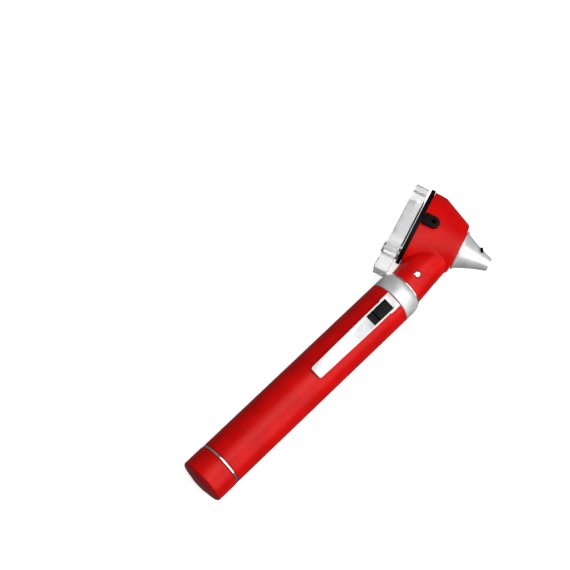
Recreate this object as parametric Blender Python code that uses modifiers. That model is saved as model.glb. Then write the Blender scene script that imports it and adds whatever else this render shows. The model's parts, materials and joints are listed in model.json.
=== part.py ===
"""A pocket otoscope, lying on its side: battery handle, light head, nose cone and swivelling magnifier.

World axes: +Y runs up the handle towards the head, +X points to the nose side, +Z is the side with the clip.
Sizes are in metres. Turned parts are drawn about their empty's local Z.
"""

import math

import bmesh
import bpy
from mathutils import Matrix, Vector

MM = 0.001

# Fits
seam_gap = 0.15 * MM        # between pieces that meet in sight
hidden_gap = 0.3 * MM       # between pieces that meet inside
running_gap = 0.1 * MM      # round a turning or sliding piece

# Handle
handle_radius = 10.0 * MM
handle_length = 98.0 * MM
handle_wall = 1.6 * MM
edge_round = 0.35 * MM
battery_radius = 7.25 * MM
battery_length = 50.5 * MM
battery_nipple_height = 1.0 * MM
battery_nipple_radius = 2.75 * MM

# End cap, its ring and its thread sleeve
cap_radius = 10.15 * MM
cap_length = 10.2 * MM
cap_dome = 0.9 * MM
cap_wall = 1.4 * MM
cap_shoulder = 0.6 * MM
cap_corner = 0.8 * MM
end_flat_radius = 5.0 * MM
ring_width = 1.0 * MM
sleeve_wall = 0.7 * MM
sleeve_reach = 5.6 * MM     # how far the cap's thread sleeve goes into the handle
spring_wire_radius = 0.4 * MM
spring_turns = 4.5
spring_base_radius = 6.2 * MM
spring_top_radius = 3.2 * MM

# Collar at the top of the handle
collar_length = 7.9 * MM
collar_straight = 4.2 * MM
collar_top_radius = 8.7 * MM
collar_spigot_length = 5.2 * MM
washer_width = 0.6 * MM
washer_radius = 8.75 * MM

# Contacts between the cells and the lamp
insulator_thickness = 1.4 * MM
pin_radius = 0.9 * MM
pin_head_radius = 2.0 * MM
pin_head_thickness = 0.7 * MM
pin_stem = 3.0 * MM
strip_thickness = 0.15 * MM
strip_width = 2.0 * MM

# Pocket clip and the switch under it
clip_angle = math.radians(6.4)     # turned from +Z towards the nose side
clip_length = 46.2 * MM
clip_tip_width = 5.7 * MM
clip_border = 0.65 * MM             # beside the window
clip_top_step = 0.4 * MM             # how far each side steps out near the top
clip_step_below_top = 5.6 * MM      # where the clip steps out to its top width
clip_sheet = 0.7 * MM
clip_rise = 1.45 * MM               # outer face above the handle's surface
clip_skirt_clearance = 0.1 * MM
window_length = 11.2 * MM
window_width = 5.3 * MM
window_below_top = 3.0 * MM
switch_travel = 3.4 * MM
button_rise = 0.3 * MM
slider_plate = 0.45 * MM
post_width = 2.0 * MM
post_length = 3.8 * MM
leaf_thickness = 0.4 * MM
leaf_width = 2.6 * MM
leaf_length = 6.0 * MM
anchor_length = 1.7 * MM
anchor_width = 4.6 * MM

# Neck of the head
neck_radius = 8.3 * MM
neck_bore_depth = 9.35 * MM
neck_sleeve_radius = 6.6 * MM
neck_sleeve_wall = 1.3 * MM
light_bore_radius = 4.6 * MM
screw_radius = 1.4 * MM
screw_shank_radius = 0.8 * MM
screw_height_on_neck = 6.1 * MM
screw_slot_width = 0.4 * MM
screw_slot_depth = 0.45 * MM

# Lamp
lamp_base_radius = 4.2 * MM
lamp_base_length = 6.4 * MM
lamp_glass_radius = 3.1 * MM
lamp_glass_length = 5.6 * MM
lamp_tip_radius = 1.3 * MM
lamp_tip_length = 1.1 * MM

# Barrel of the head, drawn about the optical axis. Depth 0 is the casing's rear edge.
optic_tilt = math.radians(18.3)     # the optical axis leans this far from +X towards +Y
rim_behind_handle = 4.8 * MM         # the barrel's rear edge, behind the handle's side
optic_origin_above_washer = 23.65 * MM
head_half_width = 9.6 * MM
casing_wall = 1.3 * MM
casing_front_wall = 1.8 * MM
barrel_depth = 19.6 * MM
rim_half_height = 18.15 * MM
rim_rise = 0.55 * MM                # the rim's centre above the optical axis
shoulder_depth = 5.6 * MM
shoulder_drop = 0.22 * MM
front_half_height = 12.0 * MM
front_edge = 0.9 * MM
front_face_radius = 9.3 * MM

# Window frame at the rear
frame_thickness = 1.8 * MM
frame_overhang = 0.32 * MM
frame_opening_half_height = 12.4 * MM
frame_opening_half_width = 6.9 * MM
frame_lip = 2.0 * MM

# Insufflation port on the barrel's side
port_width = 5.3 * MM
port_length = 7.6 * MM
port_rise = 1.5 * MM
port_height_on_rim = 1.15 * MM      # its centre line above the rim's centre
port_hole_radius = 1.1 * MM
port_spigot_radius = 1.8 * MM
port_spigot_reach = 2.4 * MM

# Nose cone
flange_radius = 8.85 * MM
flange_thickness = 0.9 * MM
cone_base_radius = 8.1 * MM
cone_tip_radius = 2.9 * MM
cone_length = 13.4 * MM
cone_waist = 0.45 * MM              # how far the outside is drawn in between base and tip
cone_tip_wall = 0.5 * MM
spigot_radius = 6.6 * MM
spigot_wall = 0.7 * MM
nut_thickness = 1.7 * MM
nut_radius = 8.0 * MM
nut_flats = 6
sight_tube_base_radius = 3.4 * MM
sight_tube_tip_radius = 1.85 * MM
sight_tube_wall = 0.45 * MM
sight_tube_reach = 4.1 * MM         # behind the casing's front face
fibre_ring_length = 5.4 * MM
guide_base_radius = 1.6 * MM
guide_middle_radius = 0.9 * MM
guide_tip_radius = 0.5 * MM
guide_above_bore = 0.9 * MM     # its lower end, above the lamp's bore
guide_span_points = 5
guide_narrow_spans = 2          # it narrows to its middle radius over these spans
stud_length = 2.7 * MM
stud_width = 1.2 * MM
stud_height = 0.7 * MM
stud_turn = math.radians(32.0)      # round the cone, from +Z towards the top of the head
stud_slant = math.radians(25.0)
stud_share = 0.56                   # how far along the cone it sits

# Swivelling lens holder
holder_gap = 0.95 * MM              # between the frame and the holder
holder_thickness = 5.8 * MM
holder_half_width = 8.8 * MM
holder_top_above_rim_centre = 15.3 * MM
holder_shoulder_below_rim_centre = 12.5 * MM
holder_tail_half_width = 4.4 * MM
holder_tail_below_rim_centre = 25.9 * MM
holder_corner = 3.0 * MM
lens_half_height = 9.0 * MM
lens_half_width = 6.6 * MM
lens_corner = 4.0 * MM
lens_thickness = 2.4 * MM
lens_dome = 0.5 * MM
lens_rise = 0.25 * MM               # the lens's centre above the rim's centre
seal_width = 1.0 * MM
seal_thickness = 0.45 * MM
pivot_below_rim_centre = 14.7 * MM
pivot_radius = 1.0 * MM
pivot_head_radius = 2.3 * MM
pivot_head_thickness = 0.8 * MM
pivot_washer_radius = 2.5 * MM
tab_ribs = 3
tab_rib_width = 0.8 * MM
tab_rib_height = 0.5 * MM

# Smoothness
round_steps = 48
small_steps = 24

# Places that follow from the sizes above. Heights are along the handle from the tube's lower end.
collar_bottom = handle_length + seam_gap
collar_top = collar_bottom + collar_length
washer_bottom = collar_top + seam_gap
washer_top = washer_bottom + washer_width
neck_bottom = washer_top + seam_gap
ring_top = -seam_gap
ring_bottom = ring_top - ring_width
cap_top = ring_bottom - seam_gap
cap_bottom = cap_top - cap_length
tube_bore = handle_radius - handle_wall
sleeve_outer = tube_bore - seam_gap
sleeve_inner = sleeve_outer - sleeve_wall
upper_cell_top = handle_length - 0.4 * MM
clip_top = handle_length - 0.8 * MM
clip_bottom = clip_top - clip_length
clip_outer = handle_radius + clip_rise
clip_ceiling = clip_outer - clip_sheet
clip_window_top = clip_top - window_below_top
clip_window_bottom = clip_window_top - window_length
clip_window_width_out = window_width + 2 * clip_border
clip_top_width = clip_window_width_out + 2 * clip_top_step
pivot_end = frame_lip - 0.2 * MM
optic_origin_x = -handle_radius - rim_behind_handle
optic_origin_y = neck_bottom + optic_origin_above_washer
barrel_front = barrel_depth
flange_back = barrel_front + seam_gap
flange_front = flange_back + flange_thickness
cone_tip = flange_front + cone_length
frame_front = -seam_gap
frame_back = frame_front - frame_thickness
holder_front = frame_back - holder_gap
holder_back = holder_front - holder_thickness
lens_centre = rim_rise + lens_rise
pivot_height = rim_rise - pivot_below_rim_centre
screw_height = neck_bottom + screw_height_on_neck


# ---------------------------------------------------------------- scene, materials, axes

def clear_scene():
    for obj in list(bpy.data.objects):
        bpy.data.objects.remove(obj, do_unlink=True)


def new_collection(name):
    made = bpy.data.collections.new(name)
    bpy.context.scene.collection.children.link(made)
    return made


def material(name, color, roughness, metallic=0.0, alpha=1.0, transmission=0.0):
    made = bpy.data.materials.new(name)
    made.use_nodes = True
    shader = made.node_tree.nodes["Principled BSDF"]
    shader.inputs["Base Color"].default_value = (*color, 1.0)
    shader.inputs["Roughness"].default_value = roughness
    shader.inputs["Metallic"].default_value = metallic
    shader.inputs["Alpha"].default_value = alpha
    shader.inputs["Transmission Weight"].default_value = transmission
    return made


def empty(name, parent=None, matrix=None):
    made = bpy.data.objects.new(name, None)
    parts.objects.link(made)
    made.parent = parent
    if matrix is not None:
        made.matrix_local = matrix
    return made


def axes_matrix(origin, x_axis, y_axis, z_axis):
    matrix = Matrix((x_axis, y_axis, z_axis)).transposed().to_4x4()
    matrix.translation = origin
    return matrix


def part(name, mesh, parent, finish, smooth=True):
    """One node: a named object with its own material, in its parent's axes."""
    if smooth:
        mesh.shade_smooth()
        mesh.set_sharp_from_angle(angle=math.radians(35))
    mesh.materials.append(finish)
    made = bpy.data.objects.new(name, mesh)
    parts.objects.link(made)
    made.parent = parent
    return made


def cutter(name, mesh, parent):
    made = bpy.data.objects.new(name, mesh)
    cutters.objects.link(made)
    made.parent = parent
    made.hide_render = True
    made.display_type = "WIRE"
    return made


def boolean(obj, other, operation="DIFFERENCE"):
    modifier = obj.modifiers.new(other.name, "BOOLEAN")
    modifier.operation = operation
    modifier.object = other


# ---------------------------------------------------------------- shapes

def mesh_from(bm, name):
    bmesh.ops.recalc_face_normals(bm, faces=bm.faces)
    mesh = bpy.data.meshes.new(name)
    bm.to_mesh(mesh)
    bm.free()
    return mesh


def turned(name, profile, parent, finish, steps=round_steps, closed=False):
    """A profile of (radius, height) points, turned about local Z with a Screw modifier.

    The points run down the outer side. A closed profile never touches the axis.
    """
    mesh = bpy.data.meshes.new(name)
    points = [(radius, 0.0, height) for radius, height in profile]
    edges = [(i, i + 1) for i in range(len(points) - 1)]
    if closed:
        edges.append((len(points) - 1, 0))
    mesh.from_pydata(points, edges, [])
    made = part(name, mesh, parent, finish, smooth=False)
    screw = made.modifiers.new("turn", "SCREW")
    screw.axis = "Z"
    screw.steps = steps
    screw.render_steps = steps
    screw.use_merge_vertices = True
    screw.merge_threshold = 0.00001
    screw.use_smooth_shade = True
    return made


def prism(outline, low, high, name="outline"):
    """A flat outline of (x, y) points, extruded from low to high along local Z."""
    bm = bmesh.new()
    face = bm.faces.new([bm.verts.new((x, y, low)) for x, y in outline])
    grown = bmesh.ops.extrude_face_region(bm, geom=[face])
    top = [item for item in grown["geom"] if isinstance(item, bmesh.types.BMVert)]
    bmesh.ops.translate(bm, verts=top, vec=(0, 0, high - low))
    return mesh_from(bm, name)


def loft(rings, name="loft"):
    """A closed body through rings that have the same number of points."""
    bm = bmesh.new()
    rows = [[bm.verts.new(point) for point in ring] for ring in rings]
    count = len(rows[0])
    for row, following in zip(rows, rows[1:]):
        for i in range(count):
            j = (i + 1) % count
            bm.faces.new((row[i], row[j], following[j], following[i]))
    bm.faces.new(rows[0][::-1])
    bm.faces.new(rows[-1])
    return mesh_from(bm, name)


def box(low, high, name="box"):
    bm = bmesh.new()
    size = [b - a for a, b in zip(low, high)]
    centre = [(a + b) / 2 for a, b in zip(low, high)]
    bmesh.ops.create_cube(bm, size=1.0, matrix=Matrix.Translation(centre) @ Matrix.Diagonal((*size, 1.0)))
    return mesh_from(bm, name)


def cylinder(radius, low, high, centre=(0.0, 0.0), steps=small_steps, top_radius=None, name="cylinder"):
    """A cylinder along local Z, or a cone where it has a top radius."""
    bm = bmesh.new()
    bmesh.ops.create_cone(
        bm, cap_ends=True, segments=steps, depth=high - low,
        radius1=radius, radius2=radius if top_radius is None else top_radius,
        matrix=Matrix.Translation((*centre, (low + high) / 2)),
    )
    return mesh_from(bm, name)


def ellipse(half_x, half_y, centre_y=0.0, count=round_steps):
    turns = [2 * math.pi * i / count for i in range(count)]
    return [(half_x * math.cos(t), centre_y + half_y * math.sin(t)) for t in turns]


def rounded_rectangle(half_x, half_y, corner, centre_y=0.0, arc_points=6):
    outline = []
    corners = [(1, 1), (-1, 1), (-1, -1), (1, -1)]
    for quarter, (side_x, side_y) in enumerate(corners):
        for i in range(arc_points):
            turn = math.pi / 2 * (quarter + i / (arc_points - 1))
            x = side_x * (half_x - corner) + corner * math.cos(turn)
            y = side_y * (half_y - corner) + corner * math.sin(turn)
            outline.append((x, centre_y + y))
    return outline


def arc(centre_r, centre_h, radius_r, radius_h, start, end, count=5):
    """Profile points round a quarter bend: 0 degrees is outwards, 90 is up."""
    points = []
    for i in range(count):
        turn = math.radians(start + (end - start) * i / (count - 1))
        points.append((centre_r + radius_r * math.cos(turn), centre_h + radius_h * math.sin(turn)))
    return points


def smooth_path(points, per_span):
    """Points along a Catmull-Rom curve through the given points."""
    padded = [points[0] * 2 - points[1], *points, points[-1] * 2 - points[-2]]
    path = []
    for a, b, c, d in zip(padded, padded[1:], padded[2:], padded[3:]):
        for i in range(per_span):
            t = i / per_span
            path.append(0.5 * (2 * b + (c - a) * t + (2 * a - 5 * b + 4 * c - d) * t ** 2
                               + (3 * b - a - 3 * c + d) * t ** 3))
    return [*path, points[-1]]


def wire(name, points, radii, parent, finish):
    """A round wire through points, as a curve with filled caps."""
    curve = bpy.data.curves.new(name, "CURVE")
    curve.dimensions = "3D"
    curve.bevel_depth = 1.0
    curve.bevel_resolution = 2
    curve.use_fill_caps = True
    spline = curve.splines.new("POLY")
    spline.points.add(len(points) - 1)
    for control, point, radius in zip(spline.points, points, radii):
        control.co = (*point, 1.0)
        control.radius = radius
    curve.materials.append(finish)
    made = bpy.data.objects.new(name, curve)
    parts.objects.link(made)
    made.parent = parent
    return made


# ---------------------------------------------------------------- handle

def build_handle_tube():
    top, bore = handle_length, tube_bore
    tube = turned("handle_tube", [
        *arc(handle_radius - edge_round, top - edge_round, edge_round, edge_round, 90, 0, 3),
        *arc(handle_radius - edge_round, edge_round, edge_round, edge_round, 0, -90, 3),
        (bore, 0.0),
        (bore, top),
    ], handle_axis, red_lacquer, closed=True)
    half = post_width / 2 + running_gap
    low = (bore - 1 * MM, -half, post_bottom - switch_travel - running_gap)
    high = (clip_outer, half, post_bottom + post_length + running_gap)
    boolean(tube, cutter("switch_slot", box(low, high), clip_axis))


def build_cell(name, top):
    can_top = top - battery_nipple_height
    bottom = top - battery_length
    turned(name, [
        (0.0, top),
        (battery_nipple_radius, top),
        (battery_nipple_radius, can_top),
        (battery_radius - edge_round, can_top),
        (battery_radius, can_top - edge_round),
        (battery_radius, bottom + edge_round),
        (battery_radius - edge_round, bottom),
        (0.0, bottom),
    ], handle_axis, cell_jacket, small_steps)


def build_cap():
    turned("cap_ring", [
        (handle_radius, ring_top),
        (handle_radius, ring_bottom),
        (tube_bore, ring_bottom),
        (tube_bore, ring_top),
    ], handle_axis, bright_metal, closed=True)

    dome_radius = cap_radius - cap_corner
    turned("end_cap", [
        (0.0, cap_floor),
        (tube_bore, cap_floor),
        (tube_bore, cap_top),
        *arc(cap_radius - cap_shoulder, cap_top - cap_shoulder, cap_shoulder, cap_shoulder, 90, 0, 4),
        *arc(dome_radius, cap_bottom + cap_corner, cap_corner, cap_corner, 0, -75, 4),
        *[(dome_radius * share, cap_bottom - cap_dome * (1 - share ** 2)) for share in (0.88, 0.7)],
        (end_flat_radius, cap_bottom - cap_dome),
        (0.0, cap_bottom - cap_dome),
    ], handle_axis, red_lacquer)

    turned("cap_thread_sleeve", [
        (0.0, sleeve_floor),
        (sleeve_inner, sleeve_floor),
        (sleeve_inner, sleeve_reach),
        (sleeve_outer, sleeve_reach),
        (sleeve_outer, sleeve_floor - sleeve_wall),
        (0.0, sleeve_floor - sleeve_wall),
    ], handle_axis, bright_metal)


def build_spring():
    """A conical coil, pressed between the cap's sleeve and the lower cell."""
    start = sleeve_floor + spring_wire_radius + seam_gap
    end = lower_cell_bottom - spring_wire_radius - seam_gap
    count = int(spring_turns * 12)
    points, radii = [], []
    for i in range(count + 1):
        share = i / count
        turn = 2 * math.pi * spring_turns * share
        radius = spring_base_radius + (spring_top_radius - spring_base_radius) * share
        points.append((radius * math.cos(turn), radius * math.sin(turn), start + (end - start) * share))
        radii.append(spring_wire_radius)
    wire("battery_spring", points, radii, handle_axis, spring_steel)


def build_collar():
    bore = neck_sleeve_radius + seam_gap
    shoulder = collar_bottom + collar_straight
    turned("collar", [
        (bore, collar_top),
        *arc(collar_top_radius, shoulder, handle_radius - collar_top_radius, collar_length - collar_straight, 90, 0, 7),
        (handle_radius, collar_bottom + edge_round),
        (handle_radius - edge_round, collar_bottom),
        (sleeve_outer, collar_bottom),
        (sleeve_outer, collar_bottom - collar_spigot_length),
        (sleeve_inner, collar_bottom - collar_spigot_length),
        (sleeve_inner, insulator_top + seam_gap),
        (bore, insulator_top + seam_gap),
    ], handle_axis, satin_metal, closed=True)
    turned("neck_washer", [
        (washer_radius, washer_top),
        (washer_radius, washer_bottom),
        (bore, washer_bottom),
        (bore, washer_top),
    ], handle_axis, bright_metal, closed=True)


def build_contacts():
    hole = pin_radius + running_gap
    turned("insulator_disc", [
        (sleeve_inner - seam_gap, insulator_top),
        (sleeve_inner - seam_gap, insulator_top - insulator_thickness),
        (hole, insulator_top - insulator_thickness),
        (hole, insulator_top),
    ], handle_axis, black_plastic, small_steps, closed=True)
    turned("contact_pin", [
        (0.0, pin_top),
        (pin_radius, pin_top),
        (pin_radius, pin_head_top),
        (pin_head_radius, pin_head_top),
        (pin_head_radius, pin_head_top - pin_head_thickness),
        (0.0, pin_head_top - pin_head_thickness),
    ], handle_axis, brass, small_steps)
    low = (strip_height, -strip_width / 2, strip_bottom)
    high = (strip_height + strip_thickness, strip_width / 2, post_bottom - switch_travel - 2 * seam_gap)
    part("contact_strip", box(low, high), clip_axis, brass, smooth=False)


# ---------------------------------------------------------------- clip and switch

def clip_outline(inset):
    """Half-widths up the clip: it widens towards the window and steps out near its top."""
    step = clip_top - clip_step_below_top
    corner = 0.5 * MM
    side = [
        (clip_tip_width / 2 - corner, clip_bottom),
        (clip_tip_width / 2, clip_bottom + corner),
        (clip_window_width_out / 2, clip_window_bottom),
        (clip_window_width_out / 2, step),
        (clip_top_width / 2, step + 0.4 * MM),
        (clip_top_width / 2, clip_top),
    ]
    grown = [(y - inset, z) for y, z in side]
    grown[0] = (grown[0][0], clip_bottom + inset)
    grown[1] = (grown[1][0], grown[1][1] + inset)
    grown[-1] = (grown[-1][0], clip_top - inset)
    return [(y, z) for y, z in grown] + [(-y, z) for y, z in reversed(grown)]


def upright(mesh):
    """Turns a prism so that its outline lies in the clip's face and it is thick along local X."""
    mesh.transform(Matrix(((0, 0, 1, 0), (1, 0, 0, 0), (0, 1, 0, 0), (0, 0, 0, 1))))
    return mesh


def build_clip():
    low = clip_skirt_bottom
    shell = part("pocket_clip", upright(prism(clip_outline(0.0), low, clip_outer)), clip_axis,
                 satin_metal, smooth=False)
    hollow = prism(clip_outline(clip_sheet), low - 1 * MM, clip_ceiling)
    boolean(shell, cutter("clip_hollow", upright(hollow), clip_axis))
    opening = box((clip_ceiling - 1 * MM, -window_width / 2, clip_window_bottom),
                  (clip_outer + 1 * MM, window_width / 2, clip_window_top))
    boolean(shell, cutter("clip_window", opening, clip_axis))

    half = anchor_width / 2
    anchor_top = clip_top - clip_sheet - seam_gap
    anchor_low = handle_radius * math.cos(half / handle_radius)
    anchor = part("clip_anchor", box((anchor_low - 0.5 * MM, -half, anchor_top - anchor_length),
                                     (clip_ceiling - seam_gap, half, anchor_top)), clip_axis, spring_steel,
                  smooth=False)
    boolean(anchor, cutter("anchor_saddle", cylinder(handle_radius + seam_gap, clip_bottom, collar_top,
                                                     steps=round_steps), handle_axis))


def build_switch():
    """The button, its plate under the clip and its post through the tube are one moulding."""
    plate_top = slider_bottom + slider_plate
    half = window_width / 2 - running_gap
    button_bottom = clip_window_bottom + switch_travel + running_gap
    button_top = clip_window_top - running_gap
    slider = part("switch_slider", box(
        (slider_bottom, -half, clip_window_bottom - running_gap * 4),
        (plate_top, half, clip_window_top + running_gap * 4)), clip_axis, black_plastic, smooth=False)
    button = box((plate_top - slider_plate / 2, -half, button_bottom), (clip_outer + button_rise, half, button_top))
    boolean(slider, cutter("switch_button", button, clip_axis), "UNION")
    post = box((leaf_top + seam_gap, -post_width / 2, post_bottom),
               (plate_top - slider_plate / 2, post_width / 2, post_bottom + post_length))
    boolean(slider, cutter("switch_post", post, clip_axis), "UNION")
    leaf_middle = post_bottom + post_length / 2
    part("switch_contact", box(
        (leaf_top - leaf_thickness, -leaf_width / 2, leaf_middle - leaf_length / 2),
        (leaf_top, leaf_width / 2, leaf_middle + leaf_length / 2)), clip_axis, brass, smooth=False)


# ---------------------------------------------------------------- head

def build_head_fittings():
    """The threaded sleeve in the neck, the lamp in it and the screw that holds it."""
    bottom = insulator_top + hidden_gap
    top = neck_bottom + neck_bore_depth - hidden_gap
    inner = neck_sleeve_radius - neck_sleeve_wall
    sleeve = turned("neck_sleeve", [
        (neck_sleeve_radius, top),
        (neck_sleeve_radius, bottom),
        (inner, bottom),
        (inner, top),
    ], handle_axis, bright_metal, closed=True)
    tapped = cylinder(screw_shank_radius + running_gap, 0.0, 2 * neck_radius)
    boolean(sleeve, cutter("sleeve_tapped_hole", tapped, screw_axis))

    tip_bottom = pin_top + hidden_gap
    tip_top = tip_bottom + lamp_tip_length
    base_bottom = tip_top + seam_gap
    base_top = base_bottom + lamp_base_length
    rim = lamp_base_radius + 0.8 * MM
    turned("lamp_contact", [
        (0.0, tip_top), (lamp_tip_radius, tip_top), (lamp_tip_radius, tip_bottom + 0.4 * MM),
        (lamp_tip_radius * 0.6, tip_bottom), (0.0, tip_bottom),
    ], handle_axis, brass, small_steps)
    turned("lamp_base", [
        (0.0, base_top), (rim, base_top), (rim, base_top - 1.2 * MM), (lamp_base_radius, base_top - 1.2 * MM),
        (lamp_base_radius, base_bottom + 0.5 * MM), (lamp_base_radius - 0.5 * MM, base_bottom), (0.0, base_bottom),
    ], handle_axis, bright_metal, small_steps)
    glass_bottom = base_top + seam_gap
    straight = glass_bottom + lamp_glass_length - lamp_glass_radius
    turned("lamp_glass", [
        *arc(0.0, straight, lamp_glass_radius, lamp_glass_radius, 90, 0, 6),
        (lamp_glass_radius, glass_bottom),
        (0.0, glass_bottom),
    ], handle_axis, clear_glass, small_steps)

    screw = turned("head_screw", [
        (0.0, screw_face), (screw_radius - 0.25 * MM, screw_face), (screw_radius, screw_face - 0.25 * MM),
        (screw_radius, screw_seat), (screw_shank_radius, screw_seat),
        (screw_shank_radius, inner + 0.2 * MM), (0.0, inner + 0.2 * MM),
    ], screw_axis, bright_metal, small_steps)
    slot = box((-screw_slot_width / 2, -2 * screw_radius, screw_face - screw_slot_depth),
               (screw_slot_width / 2, 2 * screw_radius, screw_face + 1 * MM))
    boolean(screw, cutter("screw_slot", slot, screw_axis))


def barrel_section(depth, inset=0.0):
    """Half-width, top and bottom of the barrel at a depth from its rear edge, drawn in by inset."""
    rim_top = rim_rise + rim_half_height
    rim_bottom = rim_rise - rim_half_height
    front = barrel_front - front_edge
    if depth <= shoulder_depth:
        top = rim_top - shoulder_drop * (max(depth, 0.0) / shoulder_depth) ** 2
    else:
        share = (depth - shoulder_depth) / (front - shoulder_depth)
        top = rim_top - shoulder_drop + (front_half_height - rim_top + shoulder_drop) * share
    bottom = rim_bottom + (-front_half_height - rim_bottom) * max(depth, 0.0) / front
    half_width = head_half_width
    if depth > front:
        share = (depth - front) / front_edge
        top += (front_face_radius - front_half_height) * share
        bottom -= (front_face_radius - front_half_height) * share
        half_width += (front_face_radius - head_half_width) * share
    return half_width - inset, top - inset, bottom + inset


def barrel_ring(depth, inset=0.0, at_depth=None):
    half_width, top, bottom = barrel_section(depth if at_depth is None else at_depth, inset)
    outline = ellipse(half_width, (top - bottom) / 2, (top + bottom) / 2)
    return [(x, y, depth) for x, y in outline]


def neck_ring(height, rear, front, half_width):
    middle, half = (front + rear) / 2, (front - rear) / 2
    turns = [2 * math.pi * i / round_steps for i in range(round_steps)]
    return [(half_width * math.cos(t), middle + half * math.sin(t), height) for t in turns]


def build_head_shell():
    front = barrel_front - front_edge
    depths = [0.0, shoulder_depth * 0.5, shoulder_depth * 0.85, shoulder_depth * 1.25, front * 0.6, front,
              front + front_edge * 0.55, barrel_front]
    shell = part("head_shell", loft([barrel_ring(depth) for depth in depths]), optical_axis, red_lacquer)

    # The neck: height above its lower face, rear edge, front edge and half-width, as shares of its radius
    # where it meets the collar. It runs up into the barrel, which takes in its top.
    shape = [(0.0, -1.0, 0.995, 1.0), (3.9, -1.04, 0.955, 1.015), (7.9, -1.12, 0.905, 1.02),
             (13.0, -1.12, 0.85, 0.97), (19.0, -0.95, 0.78, 0.86), (22.0, -0.5, 0.5, 0.6)]
    rings = [neck_ring(neck_bottom + height * MM, rear * neck_radius, front * neck_radius, half * neck_radius)
             for height, rear, front, half in shape]
    boolean(shell, cutter("neck_solid", loft(rings), handle_axis), "UNION")

    inside = [-1 * MM, 0.0, shoulder_depth, front * 0.6, barrel_front - casing_front_wall]
    cavity = loft([barrel_ring(depth, casing_wall, max(depth, 0.0)) for depth in inside])
    boolean(shell, cutter("barrel_cavity", cavity, optical_axis))
    bore = cylinder(neck_sleeve_radius + seam_gap, neck_bottom - 1 * MM, neck_bottom + neck_bore_depth,
                    steps=round_steps)
    boolean(shell, cutter("neck_bore", bore, handle_axis))
    light = cylinder(light_bore_radius, neck_bottom + neck_bore_depth - 1 * MM, neck_bottom + 17 * MM)
    boolean(shell, cutter("light_bore", light, handle_axis))
    nose = cylinder(spigot_radius + seam_gap, barrel_front - 4 * MM, barrel_front + 1 * MM, steps=round_steps)
    boolean(shell, cutter("nose_hole", nose, optical_axis))
    room = cylinder(pivot_radius + running_gap, -1 * MM, pivot_end + running_gap, (0.0, pivot_height))
    boolean(shell, cutter("pivot_room", room, optical_axis))
    rim = rim_half_height + frame_overhang + seam_gap
    behind = box((-rim, rim_rise - rim, -10 * MM), (rim, rim_rise + rim, 0.0))
    boolean(shell, cutter("frame_room", behind, optical_axis))
    seat = cylinder(screw_radius + seam_gap, screw_seat - seam_gap, screw_face + 3 * MM)
    boolean(shell, cutter("screw_counterbore", seat, screw_axis))
    through = cylinder(screw_shank_radius + running_gap, 0.0, screw_seat + 1 * MM)
    boolean(shell, cutter("screw_hole", through, screw_axis))
    hole = cylinder(port_spigot_radius + seam_gap, head_half_width - 3 * MM, head_half_width + 3 * MM)
    boolean(shell, cutter("port_hole", hole, port_axis))


def build_window_frame():
    half_height = rim_half_height + frame_overhang
    half_width = head_half_width + frame_overhang
    frame = part("window_frame", prism(ellipse(half_width, half_height, rim_rise), frame_back, frame_front),
                 optical_axis, black_plastic)
    lip_half_width, lip_top, lip_bottom = barrel_section(frame_lip, casing_wall + hidden_gap)
    lip = prism(ellipse(lip_half_width, (lip_top - lip_bottom) / 2, (lip_top + lip_bottom) / 2),
                (frame_back + frame_front) / 2, frame_lip)
    boolean(frame, cutter("frame_lip_solid", lip, optical_axis), "UNION")
    opening = prism(ellipse(frame_opening_half_width, frame_opening_half_height, rim_rise),
                    frame_back - 1 * MM, frame_lip + 1 * MM)
    boolean(frame, cutter("frame_opening", opening, optical_axis))
    pin_hole = cylinder(pivot_radius + running_gap, frame_back - 1 * MM, frame_lip + 1 * MM,
                        (0.0, pivot_height))
    boolean(frame, cutter("frame_pivot_hole", pin_hole, optical_axis))


def build_port():
    """A pill-shaped lug on the casing's side, with a socket down through the wall."""
    half = port_width / 2
    straight = port_length - half
    centre = port_centre_depth
    count = 12
    outline = [(-(centre - seam_gap), -half), (straight - centre, -half)]
    for i in range(1, count):
        turn = math.radians(-90 + 180 * i / count)
        outline.append((straight - centre + half * math.cos(turn), half * math.sin(turn)))
    outline += [(straight - centre, half), (-(centre - seam_gap), half)]
    low = head_half_width + seam_gap
    lug = part("insufflation_port", prism(outline, low, low + port_rise), port_axis, black_plastic)
    bevel = lug.modifiers.new("rounded", "BEVEL")
    bevel.width = 0.5 * MM
    bevel.segments = 2
    bevel.limit_method = "ANGLE"
    bevel.angle_limit = math.radians(40)
    spigot = cylinder(port_spigot_radius, low - port_spigot_reach, low + port_rise / 2)
    boolean(lug, cutter("port_spigot", spigot, port_axis), "UNION")
    hole = cylinder(port_hole_radius, low - port_spigot_reach - 1 * MM, low + port_rise + 1 * MM)
    boolean(lug, cutter("port_socket", hole, port_axis))


# ---------------------------------------------------------------- nose

def cone_outside(share):
    """Radius of the cone's outside at a share of its length, drawn in between its ends."""
    straight = cone_base_radius + (cone_tip_radius - cone_base_radius) * share
    return straight - cone_waist * 4 * share * (1 - share)


def cone_inside(depth):
    base, tip = spigot_radius - spigot_wall, cone_tip_radius - cone_tip_wall
    share = max(0.0, (depth - barrel_front) / (cone_tip - barrel_front))
    return base + (tip - base) * share


def sight_outside(depth):
    share = (depth - sight_back) / (cone_tip - sight_back)
    return sight_tube_base_radius + (sight_tube_tip_radius - sight_tube_base_radius) * share


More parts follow.
